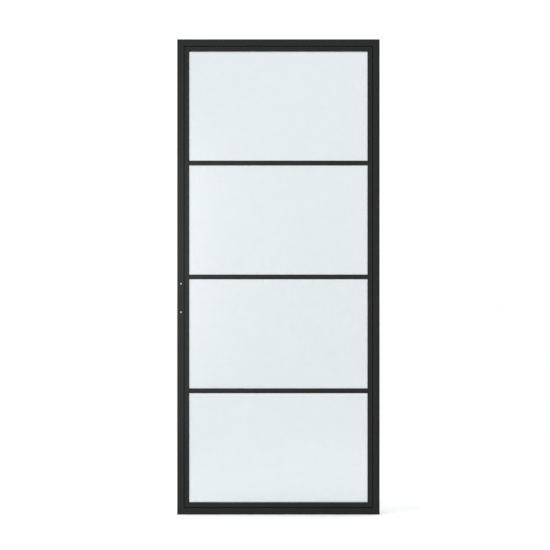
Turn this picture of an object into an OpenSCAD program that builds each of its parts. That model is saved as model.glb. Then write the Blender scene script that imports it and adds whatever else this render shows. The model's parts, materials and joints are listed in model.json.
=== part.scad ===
// Black aluminium door: a fixed four-sided frame and one hinged leaf that
// three muntins divide into four panes of satin glass.
//
// +X points right, the front face looks toward -Y and +Z is up. The origin is
// the middle of the sill's underside. The leaf hangs on three barrel hinges at
// the right of the back face, and it opens away from the front.
//
// Profiles are drawn in u and v: u runs inward from the outer edge of the
// frame, and v runs back from the front face. All four sides share them.

/* [Door] */
// Overall width of the frame
frame_w = 890; // [500:1:1200]
// Overall height of the frame
frame_h = 2090; // [1500:1:2500]
// Depth of the frame and of the leaf, which are flush at both faces
frame_depth = 50; // [44:1:80]
// Number of panes, one above the other
panes = 4; // [4]

/* [Frame profile] */
// Width of the frame's box
box_w = 22; // [20:0.5:36]
// Width of the lip that the leaf closes against
lip_w = 7; // [7:0.5:12]
// Depth of that lip, from the front
lip_depth = 12; // [10:0.5:16]
// Wall of the frame and leaf profiles
wall = 2; // [1.5:0.1:2.4]

/* [Leaf profile] */
// Visible width of the leaf's stiles and rails at the front
leaf_face = 20; // [18:0.5:40]
// Gap between the lip and the leaf at the front
reveal = 3; // [1.5:0.1:4]
// Gap between the frame's box and the leaf's flange
rebate_gap = 3; // [2.5:0.1:4]
// Space between the lip and the leaf's flange, for the seal
seal_gap = 4; // [3:0.1:5]
// Width of the chamber behind the flange
chamber_w = 15; // [14:0.5:18]

/* [Muntins] */
// Visible width of a muntin
muntin_face = 20; // [16:0.5:40]
// Thickness of the stem between two panes
stem_t = 3; // [2.5:0.1:4]
// Length of the tenon at each end of a stem
tenon = 4; // [3:0.5:6]

/* [Glazing] */
// Thickness of the glass
glass_t = 6; // [4:0.5:8]
// Thickness of the gasket on each side of the glass
gasket_t = 3; // [2:0.1:4]
// Width of a gasket
gasket_w = 5; // [4:0.5:6]
// Space between a pane's edge and the metal, which the setting blocks fill
edge_gap = 3; // [2:0.1:3.5]
// Length of a setting block
block_l = 60; // [30:1:100]
// Wall of a glazing bead
bead_wall = 1.5; // [1:0.1:2]
// Height and thickness of the tongue along a bead
bead_tongue = 0.9; // [0.6:0.1:1]

/* [Hinges] */
// Radius of a hinge barrel
barrel_r = 7; // [6:0.5:9]
// Height of one knuckle
knuckle_h = 45; // [36:1:70]
// Radius of a hinge pin
pin_r = 4; // [3:0.1:4.5]
// Length of a pin on each side of the washer
pin_reach = 35; // [25:1:34.9]
// Thickness of a hinge plate
plate_t = 3; // [2.5:0.1:4]
// Width of a hinge plate
plate_w = 14; // [12.5:0.5:16]
// Height of the lowest hinge above the sill's underside, and of the top one below the head
hinge_end = 200; // [170:1:300]
// Thickness of the washer between the two knuckles
washer_t = 1; // [0.8:0.1:2]

/* [Catch] */
// Height of the middle of the catch and of the pull handle
catch_z = 952.5; // [800:0.5:1200]
// Distance between the two catch screws
catch_pitch = 125; // [110:1:160]
// Length of the magnet
magnet_l = 70; // [40:1:80]
// Width of the magnet
magnet_w = 12; // [8:0.5:14]
// Thickness of the keep's bent steel
keep_t = 3; // [2:0.1:4]
// Thickness of the strike plate
strike_t = 1.5; // [1:0.1:2]

/* [Pull handle] */
// Distance between the two posts
post_pitch = 125; // [100:1:300]
// Radius of a post
post_r = 5; // [4.5:0.1:7]
// Radius of the grip
grip_r = 6; // [5.5:0.1:10]
// Distance from the leaf's back face to the middle of the grip
grip_off = 42; // [36:1:60]
// Length of the grip beyond each post
grip_over = 25; // [10:1:60]

/* [Fixings] */
// Radius of the jambs' fixing holes
fixing_r = 3.25; // [2.5:0.05:4]
// Radius of the holes that let a driver through to them
access_r = 6; // [5:0.1:8]
// Height of the lowest fixing hole, and of the top one below the head
fixing_end = 145; // [100:1:150]
// Number of fixing holes in a jamb
fixings = 4; // [4]
// Radius of a small screw's shank
screw_r = 2; // [1.5:0.1:2.5]
// Radius of its countersunk head
head_r = 3.5; // [3:0.1:4]
// Length of a small screw
screw_l = 12; // [8:1:14]

/* [Hidden] */
$fn = 48;

black = "#3a3c3e";
inner_black = "#232425";
rubber_black = "#1b1b1c";
satin_glass = "#e5ecee";
bright_steel = "#c9cbcc";
mill_aluminium = "#a9acae";

// A cut runs this far past the face that it opens
past = 1;
// Clearance of a piece that slides into a chamber or a slot
slide_fit = 0.3;
// Radial clearance of a pin, a bolt or a screw in its hole
turn_fit = 0.05;
// What a soft seal or a washer leaves free, so that the leaf moves past it
seal_fit = 0.3;
washer_fit = 0.05;

// Planes across the profiles, as u
frame_face = box_w + lip_w;
flange_edge = box_w + rebate_gap;
leaf_edge = frame_face + reveal;
rebate_wall = flange_edge + chamber_w;
sight = leaf_edge + leaf_face;
glass_edge = rebate_wall + edge_gap;

// Planes through the depth, as v
flange_front = lip_depth + seal_gap;
glass_front = flange_front + gasket_t;
glass_back = glass_front + glass_t;
bead_front = glass_back + gasket_t;
tongue_v = (bead_front + frame_depth) / 2;

front_y = -frame_depth / 2;
back_y = frame_depth / 2;

// The glazed opening, its panes and what each pane's edge is covered by
opening_w = frame_w - 2 * sight;
opening_h = frame_h - 2 * sight;
pane_h = (opening_h - (panes - 1) * muntin_face) / panes;
pane_pitch = pane_h + muntin_face;
rail_bead_w = sight - rebate_wall;
muntin_bead_w = (muntin_face - stem_t) / 2;

// Rubber seal: it covers as much of the lip as the flange does, and its foot stands in a slot
// just inside the lip's edge wall
seal_w = frame_face - flange_edge;
foot_w = 1.6;
foot_d = wall + 1;
foot_end = frame_face - wall - turn_fit;

// The hinge axis stands in the middle of the rebate gap, just clear of the back face
barrel_gap = 0.5;
axis_x = frame_w / 2 - box_w - rebate_gap / 2;
axis_y = back_y + barrel_r + barrel_gap;
plate_start = rebate_gap / 2 + 0.5;
plate_screw = plate_start + plate_w - head_r - 1.5;
plate_screw_end = 10;
bore_end = 1;
hinge_zs = [frame_h - hinge_end, frame_h / 2, hinge_end];

// Corner cleats
cleat_arm = 75;

// Catch: a bent keep inside the left jamb, and a strike plate on the leaf's edge
catch_u = box_w - wall - head_r - 0.1;
keep_end = 20;
keep_l = catch_pitch + 2 * keep_end;
keep_w = 12;
catch_head_h = wall;
magnet_v = frame_depth - wall - magnet_w / 2 - 2;
strike_end = 9;
strike_l = magnet_l + 4 * strike_end;
strike_pitch = strike_l - 2 * strike_end;
strike_v = magnet_v;
strike_w = magnet_w + 4;
// Its screws end in the chamber, clear of the far wall
strike_screw_l = chamber_w - wall - 1;

// Handle bolts
handle_x = -frame_w / 2 + flange_edge + chamber_w / 2;
bolt_r = 3;
bolt_head_r = min(5, chamber_w / 2 - wall - slide_fit);
bolt_head_t = 4;
bolt_reach = 12;
bolt_fit = 0.2;

fixing_v = (lip_depth + frame_depth) / 2;
fixing_pitch = (frame_h - 2 * fixing_end) / (fixings - 1);

// Places of the four panes: 1 is the top one
function pane_low(k) = sight + (panes - k) * pane_pitch;
function pane_high(k) = pane_low(k) + pane_h;
function bead_w_above(k) = k == 1 ? rail_bead_w : muntin_bead_w;
function bead_w_below(k) = k == panes ? rail_bead_w : muntin_bead_w;
function muntin_mid(k) = pane_low(k) - muntin_face / 2;

// ---- Placing ----

// The four sides of the door. What they hold is drawn with u along X, v along Y and its length along Z
module on_left() {
    translate([-frame_w / 2, front_y, 0]) children();
}

module on_right() {
    mirror([1, 0, 0]) on_left() children();
}

module on_bottom() {
    translate([frame_w / 2, front_y, 0]) rotate([0, -90, 0]) children();
}

module on_top() {
    translate([0, 0, frame_h]) mirror([0, 0, 1]) on_bottom() children();
}

// An outline in u and z, made solid from one depth to another
module slab(v_from, v_to) {
    translate([0, v_to, 0]) rotate([90, 0, 0]) linear_extrude(v_to - v_from) children();
}

// A side's section at its full length, cut at 45 degrees at both ends
module mitred(length) {
    reach = sight + past;
    intersection() {
        linear_extrude(length) children();
        slab(-past, frame_depth + past)
            polygon([[0, 0], [reach, reach], [reach, length - reach], [0, length]]);
    }
}

// One solid of any section that runs along X, drawn with z along X and v along Y
module along_x(x_from, x_to) {
    translate([x_to, front_y, 0]) rotate([0, -90, 0]) linear_extrude(x_to - x_from) children();
}

// ---- Screws ----

// A countersunk screw along Z, with its head's face at zero and a hex socket in it
module countersunk(length, head_h) {
    difference() {
        union() {
            translate([0, 0, -head_h]) cylinder(r1 = screw_r, r2 = head_r, h = head_h);
            translate([0, 0, -length]) cylinder(r = screw_r, h = length - head_h);
        }
        translate([0, 0, -head_h * 0.6]) cylinder(r = screw_r * 0.6, h = head_h, $fn = 6);
    }
}

// The hole that such a screw leaves
module countersink(length, head_h) {
    translate([0, 0, -length - past]) cylinder(r = screw_r + turn_fit, h = length + past + past);
    translate([0, 0, -head_h]) cylinder(r1 = screw_r + turn_fit, r2 = head_r + turn_fit, h = head_h);
    cylinder(r = head_r + turn_fit, h = past);
}

// ---- Frame ----

module frame_section() {
    difference() {
        polygon([
            [0, 0], [frame_face, 0], [frame_face, lip_depth],
            [box_w, lip_depth], [box_w, frame_depth], [0, frame_depth]
        ]);
        polygon([
            [wall, wall], [frame_face - wall, wall], [frame_face - wall, lip_depth - wall],
            [box_w - wall, lip_depth - wall], [box_w - wall, frame_depth - wall], [wall, frame_depth - wall]
        ]);
        translate([foot_end - foot_w - turn_fit, lip_depth - wall - past])
            square([foot_w + 2 * turn_fit, wall + 2 * past]);
    }
}

// A line of fixing holes up a jamb, with wider holes in the wall that faces the leaf
module fixing_holes() {
    for (i = [0 : fixings - 1])
        translate([0, fixing_v, fixing_end + i * fixing_pitch]) rotate([0, 90, 0]) {
            translate([0, 0, -past]) cylinder(r = fixing_r, h = wall + 2 * past);
            translate([0, 0, box_w - wall - past]) cylinder(r = access_r, h = wall + 2 * past);
        }
}

// Places of the two catch screws: they look toward -Y with their heads in the front face
module at_catch_screws() {
    for (z = [catch_z - catch_pitch / 2, catch_z + catch_pitch / 2])
        on_left() translate([catch_u, 0, z]) rotate([90, 0, 0]) children();
}

// Places of a plate's screws, from the hinge axis at the washer: the plate lies toward +X and -Z
module at_plate_screws() {
    for (z = [-plate_screw_end, plate_screw_end - knuckle_h])
        translate([plate_screw, plate_t - barrel_r - barrel_gap, z]) rotate([-90, 0, 0]) children();
}

// The three hinges' washers, and the leaf's halves turned over above them
module at_frame_half(i) {
    translate([axis_x, axis_y, hinge_zs[i - 1]]) children();
}

module at_leaf_half(i) {
    translate([axis_x, axis_y, hinge_zs[i - 1] + washer_t + washer_fit])
        mirror([1, 0, 0]) mirror([0, 0, 1]) children();
}

module frame_left_jamb() {
    color(black) difference() {
        on_left() mitred(frame_h) frame_section();
        on_left() fixing_holes();
        at_catch_screws() countersink(wall, catch_head_h);
        on_left() magnet_block(slide_fit / 2, past);
    }
}

module frame_right_jamb() {
    color(black) difference() {
        on_right() mitred(frame_h) frame_section();
        on_right() fixing_holes();
        for (i = [1 : 3]) at_frame_half(i) at_plate_screws() countersink(plate_t + wall, plate_t * 0.7);
    }
}

module frame_head() {
    color(black) on_top() mitred(frame_w) frame_section();
}

module frame_sill() {
    color(black) on_bottom() mitred(frame_w) frame_section();
}

// An L-shaped cleat inside the chamber of a corner
module cleat(u_from, u_to, v_from, v_to) {
    a = u_from + slide_fit;
    b = u_to - slide_fit;
    slab(v_from + slide_fit, v_to - slide_fit)
        polygon([[a, a], [cleat_arm, a], [cleat_arm, b], [b, b], [b, cleat_arm], [a, cleat_arm]]);
}

module at_corners() {
    on_left() children();
    on_right() children();
    translate([0, 0, frame_h]) mirror([0, 0, 1]) {
        on_left() children();
        on_right() children();
    }
}

module frame_corner_cleats() {
    color(mill_aluminium) at_corners() cleat(wall, box_w - wall, wall, frame_depth - wall);
}

// The seal: a block on the back of the lip, with a foot in the lip's slot
module seal_section() {
    translate([flange_edge, lip_depth]) square([seal_w, seal_gap - seal_fit]);
    translate([foot_end - foot_w, lip_depth - foot_d]) square([foot_w, foot_d]);
}

module rebate_seal() {
    color(rubber_black) {
        on_left() mitred(frame_h) seal_section();
        on_right() mitred(frame_h) seal_section();
        on_top() mitred(frame_w) seal_section();
        on_bottom() mitred(frame_w) seal_section();
    }
}

// ---- Catch ----

// The magnet's block in the wall that faces the leaf, grown by a clearance and cut past that wall
module magnet_block(grow, over) {
    translate([box_w - wall - over, magnet_v - magnet_w / 2 - grow, catch_z - magnet_l / 2 - grow])
        cube([wall + 2 * over, magnet_w + 2 * grow, magnet_l + 2 * grow]);
}

module catch_keep() {
    color(bright_steel) difference() {
        on_left() translate([box_w - wall, wall, catch_z - keep_l / 2]) {
            translate([-keep_w, 0, 0]) cube([keep_w, keep_t, keep_l]);
            translate([-keep_t, 0, 0]) cube([keep_t, frame_depth - 2 * wall - slide_fit, keep_l]);
        }
        at_catch_screws() countersink(screw_l, catch_head_h);
    }
}

module catch_magnet() {
    color(inner_black) on_left() magnet_block(0, 0);
}

module catch_screws() {
    color(bright_steel) at_catch_screws() countersunk(screw_l, catch_head_h);
}

module at_strike_screws() {
    for (z = [catch_z - strike_pitch / 2, catch_z + strike_pitch / 2])
        on_left() translate([flange_edge - strike_t, strike_v, z]) rotate([0, -90, 0]) children();
}

module strike_plate() {
    color(bright_steel) difference() {
        on_left() translate([flange_edge - strike_t, strike_v - strike_w / 2, catch_z - strike_l / 2])
            cube([strike_t, strike_w, strike_l]);
        at_strike_screws() countersink(strike_screw_l, strike_t);
    }
}

module strike_screws() {
    color(bright_steel) at_strike_screws() countersunk(strike_screw_l, strike_t);
}

// ---- Hinges ----

// One half of a hinge: its knuckle hangs below zero on the Z axis and its plate lies toward +X
module hinge_half() {
    difference() {
        union() {
            translate([0, 0, -knuckle_h]) cylinder(r = barrel_r, h = knuckle_h);
            translate([plate_start, -barrel_r - barrel_gap, -knuckle_h]) cube([plate_w, plate_t, knuckle_h]);
        }
        translate([0, 0, -pin_reach - bore_end]) cylinder(r = pin_r + turn_fit, h = pin_reach + bore_end + past);
        at_plate_screws() countersink(plate_t + wall, plate_t * 0.7);
    }
}

module frame_half(i) {
    color(black) at_frame_half(i) hinge_half();
}

module leaf_half(i) {
    color(black) at_leaf_half(i) hinge_half();
}

module hinge_pins() {
    color(bright_steel) for (i = [1 : 3])
        at_frame_half(i) translate([0, 0, -pin_reach]) cylinder(r = pin_r, h = 2 * pin_reach + washer_t);
}

module hinge_washers() {
    color(mill_aluminium) for (i = [1 : 3])
        at_frame_half(i) difference() {
            cylinder(r = barrel_r - turn_fit, h = washer_t);
            translate([0, 0, -past]) cylinder(r = pin_r + turn_fit, h = washer_t + 2 * past);
        }
}

module frame_hinge_screws() {
    color(bright_steel) for (i = [1 : 3]) at_frame_half(i) at_plate_screws() countersunk(screw_l, plate_t * 0.7);
}

module leaf_hinge_screws() {
    color(bright_steel) for (i = [1 : 3]) at_leaf_half(i) at_plate_screws() countersunk(screw_l, plate_t * 0.7);
}

// ---- Leaf ----

module leaf_section() {
    difference() {
        polygon([
            [leaf_edge, 0], [sight, 0], [sight, flange_front], [rebate_wall, flange_front],
            [rebate_wall, frame_depth], [flange_edge, frame_depth],
            [flange_edge, flange_front], [leaf_edge, flange_front]
        ]);
        translate([leaf_edge + wall, wall]) square([leaf_face - 2 * wall, flange_front - 2 * wall]);
        translate([flange_edge + wall, flange_front + wall])
            square([chamber_w - 2 * wall, frame_depth - flange_front - 2 * wall]);
        translate([rebate_wall, tongue_v]) tongue(bead_tongue + 0.1, turn_fit);
    }
}

// The tongue of a bead, to the left of zero, or the groove for it
module tongue(depth, grow) {
    translate([-depth, -bead_tongue / 2 - grow]) square([depth + grow, bead_tongue + 2 * grow]);
}

// The slot in a stile for the tenon of a muntin's stem
module tenon_slots() {
    for (k = [1 : panes - 1])
        translate([rebate_wall - wall - past, glass_front, muntin_mid(k) - stem_t / 2 - turn_fit])
            cube([wall + 2 * past, glass_t, stem_t + 2 * turn_fit]);
}

module leaf_left_stile() {
    color(black) difference() {
        on_left() mitred(frame_h) leaf_section();
        on_left() tenon_slots();
        at_strike_screws() countersink(strike_screw_l, strike_t);
        at_handle_posts() translate([0, 0, -wall - past]) cylinder(r = bolt_r + bolt_fit, h = wall + 2 * past);
    }
}

module leaf_right_stile() {
    color(black) difference() {
        on_right() mitred(frame_h) leaf_section();
        on_right() tenon_slots();
        for (i = [1 : 3]) at_leaf_half(i) at_plate_screws() countersink(plate_t + wall, plate_t * 0.7);
    }
}

module leaf_top_rail() {
    color(black) on_top() mitred(frame_w) leaf_section();
}

module leaf_bottom_rail() {
    color(black) on_bottom() mitred(frame_w) leaf_section();
}

module leaf_corner_cleats() {
    color(mill_aluminium) at_corners()
        cleat(flange_edge + wall, rebate_wall - wall, flange_front + wall, frame_depth - wall);
}

// ---- Muntins ----

module stem_section() {
    difference() {
        translate([-stem_t / 2, flange_front]) square([stem_t, frame_depth - flange_front]);
        translate([stem_t / 2, tongue_v]) tongue(bead_tongue + 0.1, turn_fit);
        mirror([1, 0]) translate([stem_t / 2, tongue_v]) tongue(bead_tongue + 0.1, turn_fit);
    }
}

module muntin(k) {
    half_face = opening_w / 2;
    half_stem = frame_w / 2 - rebate_wall;
    color(black) translate([0, 0, muntin_mid(k)]) {
        along_x(-half_face, half_face) difference() {
            translate([-muntin_face / 2, 0]) square([muntin_face, flange_front]);
            translate([-muntin_face / 2 + wall, wall]) square([muntin_face - 2 * wall, flange_front - 2 * wall]);
        }
        along_x(-half_stem, half_stem) stem_section();
        along_x(-half_stem - tenon, half_stem + tenon)
            translate([-stem_t / 2, glass_front + turn_fit]) square([stem_t, glass_t - 2 * turn_fit]);
    }
}

// ---- Glazing ----

module glass(k) {
    low = pane_low(k) - bead_w_below(k) + edge_gap;
    high = pane_high(k) + bead_w_above(k) - edge_gap;
    half = frame_w / 2 - glass_edge;
    color(satin_glass) translate([-half, front_y + glass_front, low]) cube([2 * half, glass_t, high - low]);
}

// A gasket ring around a pane's opening
module gasket(k, v) {
    half = opening_w / 2;
    color(rubber_black) translate([0, front_y, 0]) slab(v, v + gasket_t) difference() {
        translate([-half - gasket_w, pane_low(k) - gasket_w])
            square([2 * (half + gasket_w), pane_h + 2 * gasket_w]);
        translate([-half, pane_low(k)]) square([2 * half, pane_h]);
    }
}

// A bead's section, from the metal that it clips to at zero to the sight line
module bead_section(width) {
    difference() {
        translate([0, bead_front]) square([width, frame_depth - bead_front]);
        translate([bead_wall, bead_front + bead_wall])
            square([width - 2 * bead_wall, frame_depth - bead_front - 2 * bead_wall]);
    }
    translate([0, tongue_v]) tongue(bead_tongue, 0);
}

module bead_bottom(k) {
    half = frame_w / 2 - rebate_wall;
    color(black) translate([0, 0, pane_low(k) - bead_w_below(k)])
        along_x(-half, half) bead_section(bead_w_below(k));
}

module bead_top(k) {
    half = frame_w / 2 - rebate_wall;
    color(black) translate([0, 0, pane_high(k) + bead_w_above(k)]) mirror([0, 0, 1])
        along_x(-half, half) bead_section(bead_w_above(k));
}

module upright_bead(k) {
    translate([rebate_wall, 0, pane_low(k)]) linear_extrude(pane_h) bead_section(rail_bead_w);
}

module bead_left(k) {
    color(black) on_left() upright_bead(k);
}

module bead_right(k) {
    color(black) on_right() upright_bead(k);
}

// Two blocks under each pane, and one beside it at each stile
module setting_blocks() {
    color(rubber_black) for (k = [1 : panes]) {
        for (x = [-opening_w / 4, opening_w / 4])
            translate([x - block_l / 2, front_y + glass_front, pane_low(k) - bead_w_below(k)])
                cube([block_l, glass_t, edge_gap]);
        for (side = [0, 1])
            mirror([side, 0, 0]) on_left()
                translate([rebate_wall, glass_front, pane_low(k) + (pane_h - block_l) / 2])
                    cube([edge_gap, glass_t, block_l]);
    }
}

// ---- Pull handle ----

// Places where a post stands on the leaf's back face, looking toward +Y
module at_handle_posts() {
    for (z = [catch_z - post_pitch / 2, catch_z + post_pitch / 2])
        translate([handle_x, back_y, z]) rotate([-90, 0, 0]) children();
}

module pull_handle() {
    color(black) difference() {
        union() {
            at_handle_posts() cylinder(r = post_r, h = grip_off);
            translate([handle_x, back_y + grip_off, catch_z - post_pitch / 2 - grip_over])
                cylinder(r = grip_r, h = post_pitch + 2 * grip_over);
        }
        at_handle_posts() translate([0, 0, -past]) cylinder(r = bolt_r + turn_fit, h = bolt_reach + 2 * past);
    }
}

module handle_bolts() {
    color(bright_steel) at_handle_posts() {
        translate([0, 0, -wall - bolt_head_t]) cylinder(r = bolt_head_r, h = bolt_head_t);
        translate([0, 0, -wall]) cylinder(r = bolt_r, h = wall + bolt_reach);
    }
}

// ---- Nodes ----

frame_left_jamb();
frame_right_jamb();
frame_head();
frame_sill();
frame_corner_cleats();
rebate_seal();
catch_keep();
catch_magnet();
catch_screws();
frame_half(1);  // hinge_1_frame_half
frame_half(2);  // hinge_2_frame_half
frame_half(3);  // hinge_3_frame_half
hinge_pins();
hinge_washers();
frame_hinge_screws();
leaf_left_stile();
leaf_right_stile();
leaf_top_rail();
leaf_bottom_rail();
leaf_corner_cleats();
for (k = [1 : panes - 1]) muntin(k);
for (k = [1 : panes]) {
    glass(k);
    bead_top(k);
    bead_bottom(k);
    bead_left(k);
    bead_right(k);
    gasket(k, flange_front);
    gasket(k, glass_back);
}
setting_blocks();
strike_plate();
strike_screws();
leaf_half(1);  // hinge_1_leaf_half
leaf_half(2);  // hinge_2_leaf_half
leaf_half(3);  // hinge_3_leaf_half
leaf_hinge_screws();
pull_handle();
handle_bolts();
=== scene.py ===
# %% [markdown]
# # A glass door in its own frame
#
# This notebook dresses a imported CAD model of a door. The construction is already
# settled: sixty separate pieces, from the jambs down to the screws, each at its
# real size. What is left to do here is the look: the finish of every surface, the
# soft rubber that a CAD model keeps plain, and the light that it all stands in.
#
# The first cell loads the model. Its pieces arrive as objects that share one
# origin, in metres, and they are never moved from there.

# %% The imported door
import json
import math

import bmesh
import bpy
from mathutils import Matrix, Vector


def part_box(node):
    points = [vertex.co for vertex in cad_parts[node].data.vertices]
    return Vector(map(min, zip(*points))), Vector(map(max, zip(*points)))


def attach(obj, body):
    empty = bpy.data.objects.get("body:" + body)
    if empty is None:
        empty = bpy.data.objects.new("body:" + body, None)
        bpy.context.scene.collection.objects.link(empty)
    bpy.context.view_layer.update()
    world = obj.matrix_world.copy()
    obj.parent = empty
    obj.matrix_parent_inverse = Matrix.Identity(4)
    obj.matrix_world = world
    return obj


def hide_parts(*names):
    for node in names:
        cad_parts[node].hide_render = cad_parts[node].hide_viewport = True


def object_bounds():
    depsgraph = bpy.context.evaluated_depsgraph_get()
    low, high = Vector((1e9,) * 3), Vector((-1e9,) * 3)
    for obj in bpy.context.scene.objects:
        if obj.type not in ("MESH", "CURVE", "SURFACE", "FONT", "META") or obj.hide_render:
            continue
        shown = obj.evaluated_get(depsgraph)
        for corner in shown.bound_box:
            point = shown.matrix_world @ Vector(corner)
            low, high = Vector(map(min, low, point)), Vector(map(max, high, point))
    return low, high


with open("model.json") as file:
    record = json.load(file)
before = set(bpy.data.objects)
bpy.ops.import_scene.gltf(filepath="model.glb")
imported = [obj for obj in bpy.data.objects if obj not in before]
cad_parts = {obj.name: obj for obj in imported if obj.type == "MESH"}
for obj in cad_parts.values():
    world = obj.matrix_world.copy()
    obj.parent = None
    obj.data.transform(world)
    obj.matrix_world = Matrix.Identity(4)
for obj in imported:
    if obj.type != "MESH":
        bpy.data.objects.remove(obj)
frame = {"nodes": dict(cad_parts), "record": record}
nodes = frame["nodes"]
cad_low, cad_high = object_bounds()
print("nodes:", len(nodes), "box:", tuple(cad_high - cad_low))

# %% [markdown]
# ## Measures that the finishes and the new pieces share
#
# Measures could be typed in again here, but then the looks would come apart from
# the model at its first change. So each place comes from the box of a CAD piece:
# the rubber still fits if the glass gets thicker, and the camera still fits if the
# door gets taller. The door's width runs along X, its depth along Y and its height
# along Z, and its front looks toward -Y.

# %% Measures
MM = 0.001
DOOR_H = cad_high.z - cad_low.z
FRONT_Y = cad_low.y
BACK_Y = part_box("frame_head")[1].y
PANES = sum(name.startswith("glass_") for name in nodes)
GLASS_FRONT_Y, GLASS_BACK_Y = (corner.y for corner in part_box("glass_1"))
print("panes:", PANES, "glass:", round((GLASS_BACK_Y - GLASS_FRONT_Y) / MM, 2), "mm")

# %% [markdown]
# ## Shader maths that reads like maths
#
# Blender builds a material from nodes joined by links, and a sum such as
# `grain * 0.2 + 0.4` takes two nodes and three links. The small class below wraps
# one output socket, so that Python's own operators add those nodes. The reflected
# forms, such as `__rsub__`, let the number come first, as in `1 - grain`.
#
# A Math node would turn a colour grey, so colours go through `blend` instead, which
# uses a Mix node.

# %% A socket that can be added and multiplied
class Signal:
    """One output of a material's node tree."""

    def __init__(self, surface, socket):
        self.surface = surface
        self.socket = socket

    def _math(self, operation, *values):
        return self.surface.node("Math", {"operation": operation}, dict(enumerate(values)))

    def __add__(self, other):
        return self._math("ADD", self, other)

    def __sub__(self, other):
        return self._math("SUBTRACT", self, other)

    def __rsub__(self, other):
        return self._math("SUBTRACT", other, self)

    def __mul__(self, other):
        return self._math("MULTIPLY", self, other)

    __radd__ = __add__
    __rmul__ = __mul__


print("a Signal can be added, subtracted and multiplied")

# %% [markdown]
# ## One way to make a node
#
# A `Surface` is one material, built around Blender's Principled shader. Its `node`
# method is the only place where nodes are made. It takes the type of node, then its
# settings, which are set first because some of them change the list of sockets, and
# then the numbers or signals of its inputs.
#
# A number that holds all over the surface goes straight onto the shader's socket,
# and only what changes from place to place is linked.

# %% A material and its nodes
class Surface:
    """One material, and the one method that makes its nodes."""

    def __init__(self, name, **constants):
        self.material = bpy.data.materials.new(name)
        self.material.use_nodes = True
        self.tree = self.material.node_tree
        self.shader = self.tree.nodes["Principled BSDF"]
        self.drive(**constants)

    def node(self, kind, settings=None, inputs=None, output=0):
        made = self.tree.nodes.new("ShaderNode" + kind)
        for name, value in (settings or {}).items():
            setattr(made, name, value)
        for key, value in (inputs or {}).items():
            self._feed(made.inputs[key], value)
        return Signal(self, made.outputs[output])

    def drive(self, **sockets):
        """Numbers or signals for the shader, by the names of its sockets."""
        for name, value in sockets.items():
            self._feed(self.shader.inputs[name.replace("_", " ")], value)

    def _feed(self, socket, value):
        if isinstance(value, Signal):
            self.tree.links.new(value.socket, socket)
        else:
            socket.default_value = value


print("a Surface makes each node through one method")

# %% [markdown]
# ## Patterns worked out from the place
#
# No real surface is even: it has grit, ripples, stains or lines. Images could be
# laid over the pieces, but each of the sixty would have to be unwrapped first. Noise
# that is worked out from the place of a point needs no unwrapping, it never shows a
# repeat, and its blotches can be given in millimetres.
#
# A `Finish` is a surface that knows such patterns.

# %% The patterns that the finishes are mixed from
COLOUR_A, COLOUR_B, COLOUR_OUT = 6, 7, 2  # where a Mix node has its sockets for colours


class Finish(Surface):
    """A surface with the patterns of the door's materials."""

    def place(self):
        """Where a point of the piece lies, in metres."""
        return self.node("TexCoord", output="Object")

    def stretched(self, x, y, z):
        """The same place with each axis counted at its own rate."""
        return self.node("Mapping", None, {"Vector": self.place(), "Scale": (x, y, z)})

    def grain(self, size, detail, where=None):
        """Noise from 0 to 1: blotches about size metres across, and finer ones as detail grows."""
        sockets = {"Vector": where or self.place(), "Scale": 1 / size, "Detail": detail}
        return self.node("TexNoise", {"noise_dimensions": "3D"}, sockets)

    def between(self, value, low, high):
        """0 below low, 1 above high, and smooth from one to the other."""
        settings = {"interpolation_type": "SMOOTHSTEP", "clamp": True}
        return self.node("MapRange", settings, {"Value": value, "From Min": low, "From Max": high})

    def blend(self, amount, first, second):
        """A colour on the way from first to second."""
        sockets = {"Factor": amount, COLOUR_A: first, COLOUR_B: second}
        return self.node("Mix", {"data_type": "RGBA"}, sockets, output=COLOUR_OUT)

    def bumps(self, height, strength, rise):
        """The normals of a surface on which a height of 1 rises by rise metres."""
        sockets = {"Height": height, "Strength": strength, "Distance": rise}
        return self.node("Bump", None, sockets, output="Normal")


print("patterns: grain, between, blend, bumps")

# %% [markdown]
# ## Black powder coat
# Pale specks are painted on as highlights, where the tips of the grains would catch the light.
#
# Powder is sprayed dry onto the aluminium and baked until it flows together. Up
# close it has two textures: the fine grit of a matt powder, about half a millimetre
# across, and the slow ripple called orange peel, three or four millimetres across.
# Both could be modelled in the mesh, but they are far finer than its faces, so a
# noise at each size tilts the normals instead. The grit also scatters light, so the
# roughness follows it a little.
#
# A wide, faint drift of tone stands for the thickness of the coat, which is never
# quite even on a two metre bar. It is what keeps the bar from looking printed. Where
# the coat is thick it flows better, so its roughness goes the other way, as
# `1 - drift`.

# %% Powder coat
DRIFT_SIZE = 350 * MM
# painted highlight: pale specks stand in for light caught on the tips of the grains
GLINT_FROM, GLINT_TO = 0.66, 0.78  # only the highest grains show as pale specks
COAT_TINT, GLINT_TINT = (0.88, 0.95), (0.92, 0.97)  # red and blue, as shares of green


def grey(level, red=1.0, blue=1.0):
    """An opaque grey. Red and blue are their shares against green."""
    return (level * red, level, level * blue, 1.0)


def powder_coat(name, level, grit_size, peel_size):
    coat = Finish(name, Specular_IOR_Level=0.20)
    grit = coat.grain(grit_size, detail=1.0)
    peel = coat.grain(peel_size, detail=2.0)
    drift = coat.grain(DRIFT_SIZE, detail=3.0)
    painted_glint = coat.between(coat.grain(grit_size * 1.6, detail=0.0), GLINT_FROM, GLINT_TO)
    tone = coat.blend(drift, grey(level * 0.85, *COAT_TINT), grey(level * 1.15, *COAT_TINT))
    coat.drive(
        # painted highlight: pale specks mixed into the coat's colour
        Base_Color=coat.blend(painted_glint * 0.3, tone, grey(level * 2.2, *GLINT_TINT)),
        Roughness=(1 - drift) * 0.08 + grit * 0.14 + 0.44,
        Normal=coat.bumps(grit * 0.6 + peel * 0.4, strength=0.55, rise=0.22 * MM),
    )
    return coat.material


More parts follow.
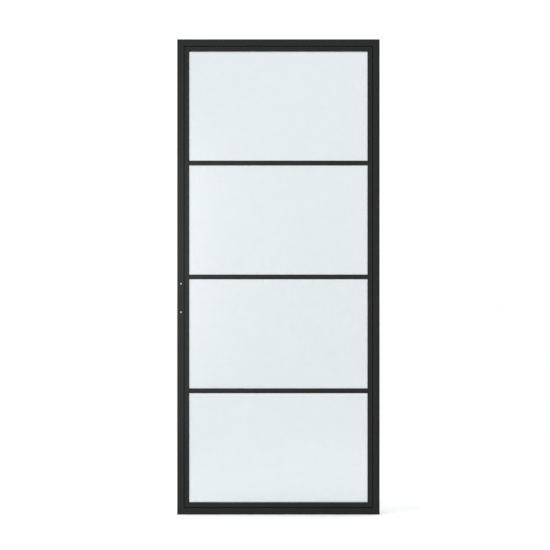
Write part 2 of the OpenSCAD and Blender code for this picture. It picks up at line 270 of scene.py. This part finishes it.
bar_coat = powder_coat("matt_black_powder_coat", 0.0085, grit_size=0.55 * MM, peel_size=3.6 * MM)
hinge_coat = powder_coat("hinge_powder_coat", 0.010, grit_size=0.40 * MM, peel_size=2.4 * MM)
print("powder coats:", bar_coat.name, hinge_coat.name)

# %% [markdown]
# ## Satin glass
#
# Satin glass is clear float glass whose faces are etched with acid until they
# scatter everything that passes. So the shader lets all its light through, and a
# high roughness does the scattering. A plain white surface would be simpler, but it
# would stay white in front of a dark room, and the real pane doesn't.
#
# The etch is a frost of crystals a few tenths of a millimetre across. The pane's
# cold tint comes from the iron in the glass, and it goes into the base colour,
# which the light meets once on each face.

# %% Satin glass
FROST_SIZE, CLOUD_SIZE = 0.35 * MM, 220 * MM
ICE, PALE_ICE = (0.749, 0.806, 0.825, 1.0), (0.766, 0.822, 0.840, 1.0)


def satin_glass():
    pane = Finish("satin_glass", Transmission_Weight=1.0, IOR=1.5)
    frost = pane.grain(FROST_SIZE, detail=2.0)
    cloud = pane.grain(CLOUD_SIZE, detail=2.0)
    pane.drive(
        Base_Color=pane.blend(cloud, ICE, PALE_ICE),
        Roughness=cloud * 0.03 + frost * 0.05 + 0.23,
        Normal=pane.bumps(frost, strength=0.25, rise=0.05 * MM),
    )
    return pane.material


etched_glass = satin_glass()
print("glass:", etched_glass.name)

# %% [markdown]
# ## Rubber
#
# The gaskets, the seal and the blocks under the glass are extruded black rubber. A
# flat dark colour would do for a strip this thin, but the rubber lies right beside
# black paint, and only its own skin sets it apart. So it gets what real rubber
# shows: a dull surface with a fine skin, and the faint grey bloom of the wax that
# comes out of it in patches.

# %% Rubber
BLOOM_FROM, BLOOM_TO = 0.45, 0.8


def rubber():
    strip = Finish("black_rubber", Specular_IOR_Level=0.35)
    bloom = strip.grain(9 * MM, detail=4.0)
    skin = strip.grain(0.4 * MM, detail=1.0)
    patches = strip.between(bloom, BLOOM_FROM, BLOOM_TO)
    strip.drive(
        Base_Color=strip.blend(patches, grey(0.008), grey(0.016)),
        Roughness=bloom * 0.2 + 0.5,
        Normal=strip.bumps(skin, strength=0.25, rise=0.05 * MM),
    )
    return strip.material


black_rubber = rubber()
print("rubber:", black_rubber.name)

# %% [markdown]
# ## Stainless steel and raw aluminium
#
# The screws, the pins, the keep and the strike plate are stainless steel, turned or
# rolled, and the cleats inside the corners are raw aluminium, sawn from a bar. Tools
# leave fine lines in one direction. An anisotropic shader would only smear the
# highlight, so the lines are drawn: the noise is stretched until it changes fast
# across them and slowly along them.

# %% Metal with lines
LINE_SIZE = 0.12 * MM
ALONG = 0.03  # how fast the noise changes along a line, in shares of its rate across


def worked_metal(name, level, roughness):
    """Bare metal with fine lines along Z."""
    metal = Finish(name, Metallic=1.0)
    lines = metal.grain(LINE_SIZE, detail=2.0, where=metal.stretched(1.0, 1.0, ALONG))
    stain = metal.grain(14 * MM, detail=3.0)
    metal.drive(
        Base_Color=metal.blend(stain, grey(level * 0.92, 1.01, 0.99), grey(level)),
        Roughness=lines * 0.16 + stain * 0.06 + roughness,
        Normal=metal.bumps(lines, strength=0.22, rise=0.03 * MM),
    )
    return metal.material


raw_aluminium = worked_metal("mill_aluminium", 0.58, roughness=0.34)
steel = worked_metal("bright_steel", 0.26, roughness=0.26)
print("bare metals:", raw_aluminium.name, steel.name)

# %% [markdown]
# ## Moulded nylon
#
# The hinges' washers and caps are moulded nylon, and so is the jacket round the
# catch's magnet. A mould is cut by sparks, which leave its walls finely pitted, and
# every piece from it carries that skin. A noise of the pits' size gives the skin, and
# the same noise moves the other two: the colour is a little darker in each pit, which
# is painted shade, and the raised skin round it is a little duller, because it gets
# all the rubbing.

# %% Moulded nylon
def moulded(name, level):
    piece = Finish(name, Specular_IOR_Level=0.4)
    pits_and_shade = piece.grain(0.3 * MM, detail=1.0)
    piece.drive(
        # painted shade: the colour is darker where the pits lie low
        Base_Color=piece.blend(pits_and_shade, grey(level * 0.85), grey(level * 1.15)),
        Roughness=pits_and_shade * 0.12 + 0.4,
        Normal=piece.bumps(pits_and_shade, strength=0.3, rise=0.06 * MM),
    )
    return piece.material


magnet_jacket = moulded("magnet_jacket", 0.020)
nylon = moulded("black_nylon", 0.016)
print("moulded:", magnet_jacket.name, nylon.name)

# %% [markdown]
# ## A finish for every piece
#
# A door like this comes from a paint shop, a glass maker and a few boxes of fittings,
# and the record says for each piece which of these its finish comes from. The finish
# could be chosen piece by piece, but one table and one loop dress all sixty, and a
# piece that is added later can't be forgotten.

# %% Dressing the CAD pieces
FINISHES = {
    "black_aluminium": bar_coat,
    "black_steel": hinge_coat,
    "satin_glass": etched_glass,
    "black_rubber": black_rubber,
    "mill_aluminium": raw_aluminium,
    "bright_steel": steel,
    "magnet": magnet_jacket,
    "nylon": nylon,
}
SLOTS = {part["node"]: part["material_slot"] for part in frame["record"]["subparts"]}

for node, slot in SLOTS.items():
    nodes[node].data.materials.clear()
    nodes[node].data.materials.append(FINISHES[slot])
print("dressed:", len(SLOTS), "pieces in", len(set(SLOTS.values())), "finishes")

# %% [markdown]
# ## Flat faces that stay flat in the light
#
# On the real door a wide face is flat right up to its edge. A smooth mesh shares its
# normals across an edge, which would bend the light on the face near every hole and
# corner. The edges could be marked one by one, but the mesh is to stay as it is, so
# each piece that gets rounded edges below also gets a few geometry nodes that look at
# the angle of every edge, as the last of its modifiers.
#
# They keep an edge crisp where it turns by more than 12 degrees. The facets of a
# round barrel turn by less than 8, so they still look round.

# %% Crisp edges
CRISP_TURN = math.radians(12)


def crisp_edges(turn):
    """A node group that keeps every edge crisp where its two faces turn by more than turn."""
    group = bpy.data.node_groups.new("crisp_edges", "GeometryNodeTree")
    for way in ("INPUT", "OUTPUT"):
        group.interface.new_socket("Geometry", in_out=way, socket_type="NodeSocketGeometry")
    source = group.nodes.new("NodeGroupInput")
    angle = group.nodes.new("GeometryNodeInputMeshEdgeAngle")
    wide = group.nodes.new("FunctionNodeCompare")
    wide.operation = "GREATER_THAN"
    wide.inputs["B"].default_value = turn
    crease = group.nodes.new("GeometryNodeSetShadeSmooth")
    crease.domain = "EDGE"
    crease.inputs["Shade Smooth"].default_value = False
    result = group.nodes.new("NodeGroupOutput")
    group.links.new(source.outputs["Geometry"], crease.inputs["Geometry"])
    group.links.new(angle.outputs["Unsigned Angle"], wide.inputs["A"])
    group.links.new(wide.outputs["Result"], crease.inputs["Selection"])
    group.links.new(crease.outputs["Geometry"], result.inputs["Geometry"])
    return group


CRISP = crisp_edges(CRISP_TURN)
print("crisp above", round(math.degrees(CRISP_TURN)), "degrees")

# %% [markdown]
# ## Edges that catch the light
#
# A CAD edge is perfectly sharp, and a real one never is: powder rounds an edge to
# about a third of a millimetre, and only a rounded edge catches a line of light.
# The rounding could be drawn in CAD, but only the look needs it, and every test of
# the model would have to carry its small faces. The Bevel modifier rounds the edges
# without touching the mesh.
#
# It needs whole edges and whole faces to work on. The imported mesh is cut apart
# along every edge, so a Weld comes first. Its flat faces are also cut into slivers
# that fan out from every hole, and a bevel would slide its corners along them and
# plough grooves down the bars. So a Decimate in its planar mode joins the slivers,
# and the sliding is off.

# %% Rounded edges
EDGE_RADIUS = {
    "black_aluminium": 0.35 * MM,
    "black_steel": 0.5 * MM,
    "satin_glass": 0.6 * MM,
    "black_rubber": 0.2 * MM,
    "bright_steel": 0.15 * MM,
}
ROUNDING_STEPS = 2
TOUCHING = 0.001 * MM
COPLANAR = math.radians(0.5)
SHARP = math.radians(38)


def round_edges(piece, radius):
    seam = piece.modifiers.new("Weld", "WELD")
    seam.merge_threshold = TOUCHING
    flats = piece.modifiers.new("Flats", "DECIMATE")
    flats.decimate_type = "DISSOLVE"
    flats.angle_limit = COPLANAR
    edges = piece.modifiers.new("Edges", "BEVEL")
    edges.width = radius
    edges.segments = ROUNDING_STEPS
    edges.limit_method = "ANGLE"
    edges.angle_limit = SHARP
    edges.loop_slide = False
    edges.use_clamp_overlap = False
    crisp = piece.modifiers.new("Crisp", "NODES")
    crisp.node_group = CRISP


rounded = [node for node, slot in SLOTS.items() if slot in EDGE_RADIUS]
for node in rounded:
    round_edges(nodes[node], EDGE_RADIUS[SLOTS[node]])
print("rounded:", len(rounded), "pieces")

# %% [markdown]
# ## How a new piece joins the door
#
# The rubber lips, the caps and the rosettes are made here, because they are soft or
# only trim. Each is drawn in mesh code at its place on the shut door. It then has to
# move with its own half of the door, so it rides on the frame or on the leaf, takes
# its finish from a slot, and may stand in for a plain CAD piece. Parenting and hiding
# by hand could do the same, but one helper does it alike for every piece.
#
# Smooth faces with crisp edges make rubber look moulded, not folded from card.

# %% New pieces
def put_in_scene(name, mesh, material):
    """Turns a finished bmesh into an object."""
    mesh.normal_update()
    data = bpy.data.meshes.new(name)
    mesh.to_mesh(data)
    mesh.free()
    data.materials.append(material)
    made = bpy.data.objects.new(name, data)
    bpy.context.scene.collection.objects.link(made)
    return made


def new_piece(name, mesh, body, slot, replaced=()):
    """Adds a piece of the door to the frame or the leaf."""
    made = put_in_scene(name, mesh, FINISHES[slot])
    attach(made, body)
    if replaced:
        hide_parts(*replaced)
    return made


def shade_by_angle(mesh):
    """Smooth faces, with the edges that turn by more than SHARP kept crisp."""
    for face in mesh.faces:
        face.smooth = True
    for edge in mesh.edges:
        edge.smooth = len(edge.link_faces) == 2 and edge.calc_face_angle(0.0) < SHARP


print("crisp on new pieces above", round(math.degrees(SHARP)), "degrees")

# %% [markdown]
# ## Strips that run round a rectangle
#
# A real gasket is a straight extrusion, cut at 45 degrees and joined at the four
# corners. A curve with a bevel could follow the rectangle, but it rounds the corners
# or pinches them. So the section is set up once at each corner, already on the mitre
# line, and quads join one corner to the next.
#
# The section's first number is how far a point lies outside the rectangle, and its
# second is its place in the depth.

# %% Sections carried round a rectangle
def carried_round(mesh, section, low, high):
    """Carries a closed outline of (outward, y) round the rectangle from low to high, as (x, z)."""
    corners = (
        (low[0], low[1], -1, -1),
        (high[0], low[1], 1, -1),
        (high[0], high[1], 1, 1),
        (low[0], high[1], -1, 1),
    )
    rings = [
        [mesh.verts.new((x + right * out, y, z + up * out)) for out, y in section]
        for x, z, right, up in corners
    ]
    for ring, following in zip(rings, rings[1:] + rings[:1]):
        for j in range(len(section)):
            k = (j + 1) % len(section)
            mesh.faces.new((ring[j], following[j], following[k], ring[k]))
    bmesh.ops.recalc_face_normals(mesh, faces=mesh.faces)


print("a section runs round 4 mitred corners")

# %% [markdown]
# ## The outline of a gasket
#
# A glazing gasket isn't a square strip. It is pushed in from the glass side, and a
# thin lip leans on the pane and covers the edge of the metal, so that a fine black
# line runs round every pane. Its back has ribs that grip the metal. The CAD strip
# only shows where it lies, and a rounded copy of that strip would have neither. So
# the outline is drawn point by point, from the metal to the glass and back.

# %% The section of a gasket
LIP_REACH = 0.4 * MM
LIP_RISE = 1.9 * MM
LIP_TIP = 0.15 * MM
RIBS = 3
RIB_DEPTH = 0.5 * MM
RIB_FROM, RIB_TO = 0.2, 0.8  # the flat top of a rib, in shares of its pitch


def gasket_section(metal_y, glass_y, width):
    """From the metal's face to the glass, with the lip reaching over the opening's edge."""
    away = math.copysign(1.0, metal_y - glass_y)
    thick = abs(metal_y - glass_y)
    lip = [
        (0.0, glass_y + away * LIP_RISE),
        (-LIP_REACH * 0.55, glass_y + away * LIP_RISE * 0.80),
        (-LIP_REACH * 0.90, glass_y + away * LIP_RISE * 0.45),
        (-LIP_REACH, glass_y + away * LIP_TIP),
        (-LIP_REACH * 0.9, glass_y),
    ]
    back = [(width, glass_y), (width, glass_y + away * thick * 0.75)]
    pitch = width / RIBS
    for i in reversed(range(RIBS)):
        back += [(pitch * (i + RIB_TO), metal_y), (pitch * (i + RIB_FROM), metal_y)]
        if i:
            back.append((pitch * i, metal_y - away * RIB_DEPTH))
    return lip + back + [(0.0, metal_y)]


print("gasket ribs:", RIBS, "lip past the metal:", round(LIP_REACH / MM, 2), "mm")

# %% [markdown]
# ## The eight gaskets
#
# Every pane has one gasket in front, against the stiles and rails, and one at the
# back, under the beads. They could be one mesh copied eight times, but the panes
# needn't be of one height. So each gasket takes its rectangle from the beads of its
# own pane, and its depth from the CAD strip that it replaces.

# %% The gaskets
def make_gasket(side, number):
    strip = f"{side}_gasket_{number}"
    low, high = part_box(strip)
    metal_y, glass_y = (low.y, GLASS_FRONT_Y) if side == "front" else (high.y, GLASS_BACK_Y)
    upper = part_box(f"bead_{number}_top")[0].z
    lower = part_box(f"bead_{number}_bottom")[1].z
    width = high.z - upper
    section = gasket_section(metal_y, glass_y, width)
    mesh = bmesh.new()
    carried_round(mesh, section, (low.x + width, lower), (high.x - width, upper))
    shade_by_angle(mesh)
    new_piece(f"{side}_lipped_gasket_{number}", mesh, "leaf", "black_rubber", [strip])
    return width


widths = [make_gasket(side, i + 1) for i in range(PANES) for side in ("front", "back")]
print("gaskets:", len(widths), "each", round(max(widths) / MM, 2), "mm wide")

# %% [markdown]
# ## The outline of the seal
#
# When the leaf shuts, it squeezes a hollow rubber seal against the lip of the
# frame. The real seal is a soft bulb over a foot that snaps into a slot. Its squeeze
# could be simulated, but the shut leaf hides it. So the bulb is drawn at its pressed
# height, as half an ellipse on short straight sides, and the foot keeps the arrow
# shape that holds it.

# %% The section of the seal
BULB_STEPS = 14
SHOULDER = 0.22  # the share of the seal's height that its straight sides take
BARB = 0.5 * MM


def seal_section(width, foot_from, foot_to, slot_y, root_y, top_y):
    """The seal in (outward, y), from its outer edge at zero inward to -width."""
    middle, half = -width / 2, width / 2
    shoulder = root_y + (top_y - root_y) * SHOULDER
    rise = top_y - shoulder
    turns = [math.pi * i / BULB_STEPS for i in range(BULB_STEPS + 1)]
    bulb = [(middle + half * math.cos(a), shoulder + rise * math.sin(a)) for a in turns]
    waist = (root_y + slot_y) / 2
    inner_side = [(middle - half, root_y), (-foot_to, root_y), (-foot_to, slot_y + BARB)]
    point = [(-foot_to + BARB, slot_y), (-foot_from - BARB, slot_y)]
    outer_side = [(-foot_from + BARB, waist), (-foot_from, waist), (-foot_from, root_y)]
    return bulb + inner_side + point + outer_side + [(middle + half, root_y)]


print("bulb:", BULB_STEPS + 1, "points over its curve")

# %% [markdown]
# ## The seal on the frame
#
# The plain CAD strip already stands at the right levels: the end of its foot, the
# lip it sits on, and its top. Its box gives only the outermost of them, so the
# others are read from the strip's own corners, and the new seal fits the slot
# exactly.

# %% The bulb seal
def levels(node, axis):
    """The different places along an axis at which a CAD piece has corners, lowest first."""
    return sorted({round(corner.co[axis], 6) for corner in nodes[node].data.vertices})


def make_seal():
    low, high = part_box("rebate_seal")
    slot_y, root_y, top_y = levels("rebate_seal", 1)
    outer, *inward = levels("rebate_seal", 0)[:4]  # those of its left side
    foot_from, foot_to, width = (x - outer for x in inward)
    section = seal_section(width, foot_from, foot_to, slot_y, root_y, top_y)
    mesh = bmesh.new()
    carried_round(mesh, section, (low.x, low.z), (high.x, high.z))
    shade_by_angle(mesh)
    return new_piece("bulb_seal", mesh, "frame", "black_rubber", ["rebate_seal"])


seal = make_seal()
print("seal:", len(seal.data.polygons), "faces")

# %% [markdown]
# ## Turned pieces
#
# The caps of the hinges and the rosettes of the handle are round, as they come from
# a mould or a lathe. A cylinder with a bevel would give them all one plain edge,
# while a lathe follows any outline. So an outline of (radius, height) is spun about
# an axis: a ring of points at each step of the outline, joined by quads, and a
# single point where the outline meets the axis.

# %% A turned mesh
AROUND = 40


def turned(mesh, outline, start, along):
    """Spins (radius, height) about the line from start in the direction along, a unit vector."""
    side = along.orthogonal().normalized()
    other = along.cross(side)
    angles = [2 * math.pi * i / AROUND for i in range(AROUND)]
    spokes = [side * math.cos(a) + other * math.sin(a) for a in angles]
    rings = []
    for radius, height in outline:
        centre = start + along * height
        around = [centre + spoke * radius for spoke in spokes] if radius else [centre]
        rings.append([mesh.verts.new(point) for point in around])
    for first, second in zip(rings, rings[1:]):
        for i in range(AROUND):
            k = (i + 1) % AROUND
            corners = [first[i % len(first)], first[k % len(first)]]
            corners += [second[k % len(second)], second[i % len(second)]]
            mesh.faces.new(dict.fromkeys(corners))  # three where two are the point on the axis
    bmesh.ops.recalc_face_normals(mesh, faces=mesh.faces)


print("turned pieces have", AROUND, "facets")

# %% [markdown]
# ## The hinge caps
#
# A lift-off hinge is closed at both ends by a small domed nylon cap, which keeps
# the grease in. The upper cap goes up with the leaf's half when the leaf is lifted
# off, so it rides on the leaf, and the lower one rides on the frame. A flat disc
# would close the barrel too, but the dome is what the eye finds on a real hinge.

# %% The hinge caps
HINGES = sum(name.endswith("_leaf_half") for name in nodes)
BARREL_GAP = 0.5 * MM  # between the barrel and the door's back, where the plate lies flat
CAP_INSET = 0.5 * MM
CAP_RISE = 1.6 * MM
CAP_RIM = 0.5 * MM
DOME_STEPS = 8


def dome(radius):
    """A cap's outline: a short upright rim, then a quarter of an ellipse up to the axis."""
    curve = [math.pi / 2 * i / DOME_STEPS for i in range(DOME_STEPS)]
    arc = [(radius * math.cos(a), CAP_RIM + CAP_RISE * math.sin(a)) for a in curve]
    return [(0, 0), (radius, 0)] + arc + [(0, CAP_RIM + CAP_RISE)]


def make_hinge_cap(number, body, half, up):
    low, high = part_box(f"hinge_{number}_{half}")
    pin_low, pin_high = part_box("hinge_pins")
    axis_x, axis_y = (pin_low.x + pin_high.x) / 2, (pin_low.y + pin_high.y) / 2
    barrel = (high.y - low.y - BARREL_GAP) / 2
    end = Vector((axis_x, axis_y, high.z if up > 0 else low.z))
    mesh = bmesh.new()
    turned(mesh, dome(barrel - CAP_INSET), end, Vector((0, 0, up)))
    shade_by_angle(mesh)
    new_piece(f"hinge_{number}_{body}_cap", mesh, body, "nylon")
    return barrel


for number in range(1, HINGES + 1):
    make_hinge_cap(number, "frame", "frame_half", -1)
    barrel = make_hinge_cap(number, "leaf", "leaf_half", 1)
print("hinge caps:", 2 * HINGES, "on barrels of", round(2 * barrel / MM, 2), "mm")

# %% [markdown]
# ## Where the handle's posts stand
#
# The pull handle stands on two round posts, each held by a bolt from inside the
# leaf. What goes round a post has to fit it closely. The post's size could be typed
# in, but the handle is already there to be measured: its width comes from the
# corners that touch the leaf, and the heights come from the bolts.

# %% The handle's posts
AT_THE_FACE = 0.01 * MM


def post_radius():
    """Half of a post's width, measured where it leaves the leaf."""
    corners = (corner.co for corner in nodes["pull_handle"].data.vertices)
    foot = [corner.x for corner in corners if abs(corner.y - BACK_Y) < AT_THE_FACE]
    return (max(foot) - min(foot)) / 2


def post_heights():
    """The heights of the two posts, each half a bolt's head in from the end of the bolts' box."""
    low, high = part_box("handle_bolts")
    head = (high.x - low.x) / 2
    return low.z + head, high.z - head


print("posts:", round(2 * post_radius() / MM, 2), "mm wide")

# %% [markdown]
# ## The handle's rosettes
#
# A turned steel rosette hides the place where the powder coat was drilled. It could
# be part of the post, but on a real handle it is a loose ring with a hairline round
# the post. So it is a ring too: its bore has the post's own radius, and its rim is
# eased so that it catches the light.

# %% The rosettes
ROSETTE_R = 7.0 * MM
ROSETTE_T = 2.4 * MM
ROSETTE_RIM = 0.7 * MM
RIM_SHARE = 0.3  # where the eased rim has its middle point


def make_rosette(name, bore, height):
    bolts_low, bolts_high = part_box("handle_bolts")
    foot = Vector(((bolts_low.x + bolts_high.x) / 2, BACK_Y, height))
    outline = [
        (bore, 0),
        (ROSETTE_R, 0),
        (ROSETTE_R, ROSETTE_T - ROSETTE_RIM),
        (ROSETTE_R - ROSETTE_RIM * RIM_SHARE, ROSETTE_T - ROSETTE_RIM * RIM_SHARE),
        (ROSETTE_R - ROSETTE_RIM, ROSETTE_T),
        (bore, ROSETTE_T),
        (bore, 0),
    ]
    mesh = bmesh.new()
    turned(mesh, outline, foot, Vector((0, 1, 0)))
    bmesh.ops.remove_doubles(mesh, verts=mesh.verts, dist=TOUCHING)
    shade_by_angle(mesh)
    new_piece(name, mesh, "leaf", "black_steel")


for name, height in zip(("lower_rosette", "upper_rosette"), post_heights()):
    make_rosette(name, post_radius(), height)
print("rosettes at", [round(height, 4) for height in post_heights()])

# %% [markdown]
# ## The floor
#
# The door stands on a wide pale floor. A floor that curves up into a backdrop would
# hide its own end, but only from one side, and the door is looked at from all of
# them. So the floor is a plain disc, big enough to end far beyond any view. Its
# plaster has a faint cloud, because a perfectly even floor looks like paper.

# %% Floor
FLOOR_R = 90.0
FLOOR_CORNERS = 96


def pale_floor():
    plaster = Finish("pale_floor", Specular_IOR_Level=0.1)
    cloud = plaster.grain(800 * MM, detail=3.0)
    plaster.drive(
        Base_Color=plaster.blend(cloud, grey(0.955), grey(0.965)),
        Roughness=cloud * 0.1 + 0.85,
    )
    return plaster.material


def make_floor():
    mesh = bmesh.new()
    bmesh.ops.create_circle(mesh, cap_ends=True, segments=FLOOR_CORNERS, radius=FLOOR_R)
    floor = put_in_scene("floor", mesh, pale_floor())


make_floor()
print("floor radius:", FLOOR_R, "m")

# %% [markdown]
# ## The sky
#
# Satin glass shows the light behind it. A white wall could stand behind the door,
# but it would be missing from every other side. An even white sky gives the panes
# something bright to pass on from wherever they are seen.

# %% Sky
SKY_LIGHT = 1.04

sky = bpy.data.worlds.new("even_sky")
sky.use_nodes = True
sky.node_tree.nodes["Background"].inputs["Color"].default_value = grey(1.0)
sky.node_tree.nodes["Background"].inputs["Strength"].default_value = SKY_LIGHT
bpy.context.scene.world = sky
print("sky light:", SKY_LIGHT)

# %% [markdown]
# ## Lamps
#
# Under an even sky alone, black bars look flat. Three large soft lamps give them
# their shape: one near the middle of the door on its front left, which leaves the
# head and the sill a little darker, one high above, and one behind. Small lamps
# would do it with less light, but they draw hard spots on the coat.
#
# Satin glass spreads whatever light comes through it, so a pane with a lamp behind
# it would burn out. The lamps are therefore hidden from the light that comes through
# the glass, and only the even sky lights the panes.

# %% Lamps
DOOR_MIDDLE = Vector(((cad_low.x + cad_high.x) / 2, 0.0, DOOR_H / 2))
LAMPS = {  # each lamp's place and size in metres, and its power in watts
    "key": ((-0.95, -1.4, 1.15), (1.3, 1.2), 17),
    "top": ((-2.8, -1.2, 3.8), (2.2, 1.6), 10),
    "back": ((3.2, 2.6, 2.6), (3.0, 2.6), 22),
}


def soft_lamp(name, place, size, watts):
    lamp = bpy.data.lights.new(name, "AREA")
    lamp.shape = "RECTANGLE"
    lamp.size, lamp.size_y = size
    lamp.energy = watts
    holder = bpy.data.objects.new(name, lamp)
    holder.location = place
    holder.rotation_mode = "QUATERNION"
    holder.rotation_quaternion = (DOOR_MIDDLE - Vector(place)).to_track_quat("-Z", "Y")
    holder.visible_camera = False
    holder.visible_transmission = False
    bpy.context.scene.collection.objects.link(holder)


for name, (place, size, watts) in LAMPS.items():
    soft_lamp(name, place, size, watts)
print("lamps:", ", ".join(LAMPS))

# %% [markdown]
# ## The camera
#
# The view is straight on. A near camera would show the insides of the frame, so this
# one stands far away with a long lens. It isn't tilted, so all the upright edges stay
# upright and all the level edges stay level. It looks along +Y from just above half
# the door's height, and the door stands a little to the right of the view's middle.

# %% Camera
LENS, SENSOR = 180.0, 36.0
NEAREST, FARTHEST = 0.1, 200.0
VIEW_H = DOOR_H * 1.1571  # what the view takes in, at the door's front
VIEW_MIDDLE_X = -15.0 * MM  # from the door's middle
VIEW_MIDDLE_Z = DOOR_H * 0.5041  # from the floor


def make_camera():
    lens = bpy.data.cameras.new("camera")
    lens.lens, lens.sensor_width = LENS, SENSOR
    lens.clip_start, lens.clip_end = NEAREST, FARTHEST
    camera = bpy.data.objects.new("camera", lens)
    distance = VIEW_H * LENS / SENSOR
    camera.location = (DOOR_MIDDLE.x + VIEW_MIDDLE_X, FRONT_Y - distance, VIEW_MIDDLE_Z)
    camera.rotation_euler = (math.pi / 2, 0.0, 0.0)
    bpy.context.scene.collection.objects.link(camera)
    bpy.context.scene.camera = camera
    return distance


print("camera distance:", round(make_camera(), 2), "m")
bpy.context.scene.view_settings.view_transform = "Standard"
